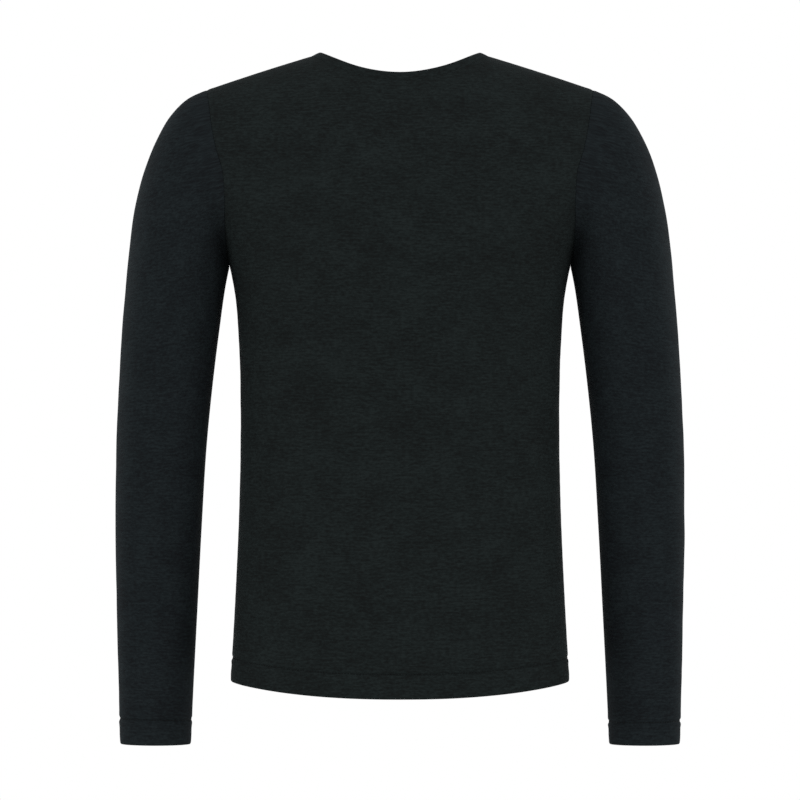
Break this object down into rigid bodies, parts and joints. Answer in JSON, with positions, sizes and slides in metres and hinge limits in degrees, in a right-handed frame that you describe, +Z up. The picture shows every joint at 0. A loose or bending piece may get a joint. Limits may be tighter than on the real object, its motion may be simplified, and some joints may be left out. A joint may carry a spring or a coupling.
{
  "type": "base layer top",
  "caption": "Slim long-sleeved crew-neck base layer top in fine dark merino jersey, filled out as worn, with turned hems and a narrow neckband.",
  "frame": {"origin": "midway between the two neck points, where the shoulder seams meet the neckline: the place at which the top rests on its wearer's shoulders", "axes": "+Z up along the body's length, +Y towards the wearer's front, +X towards the wearer's right"},
  "size_m": [0.5936, 0.2306, 0.7199],
  "materials": {
    "jersey_back": "fine merino single jersey, charcoal melange, matt with a soft nap",
    "jersey_front": "fine merino single jersey, charcoal melange, matt with a soft nap",
    "jersey_sleeve_left": "fine merino single jersey, charcoal melange, matt with a soft nap",
    "jersey_sleeve_right": "fine merino single jersey, charcoal melange, matt with a soft nap",
    "jersey_neckband": "the same jersey folded double"
  },
  "bodies": {
    "root": {"back": "jersey_back", "front": "jersey_front", "sleeve_left": "jersey_sleeve_left", "sleeve_right": "jersey_sleeve_right", "neckband": "jersey_neckband"}
  },
  "joints": []
}
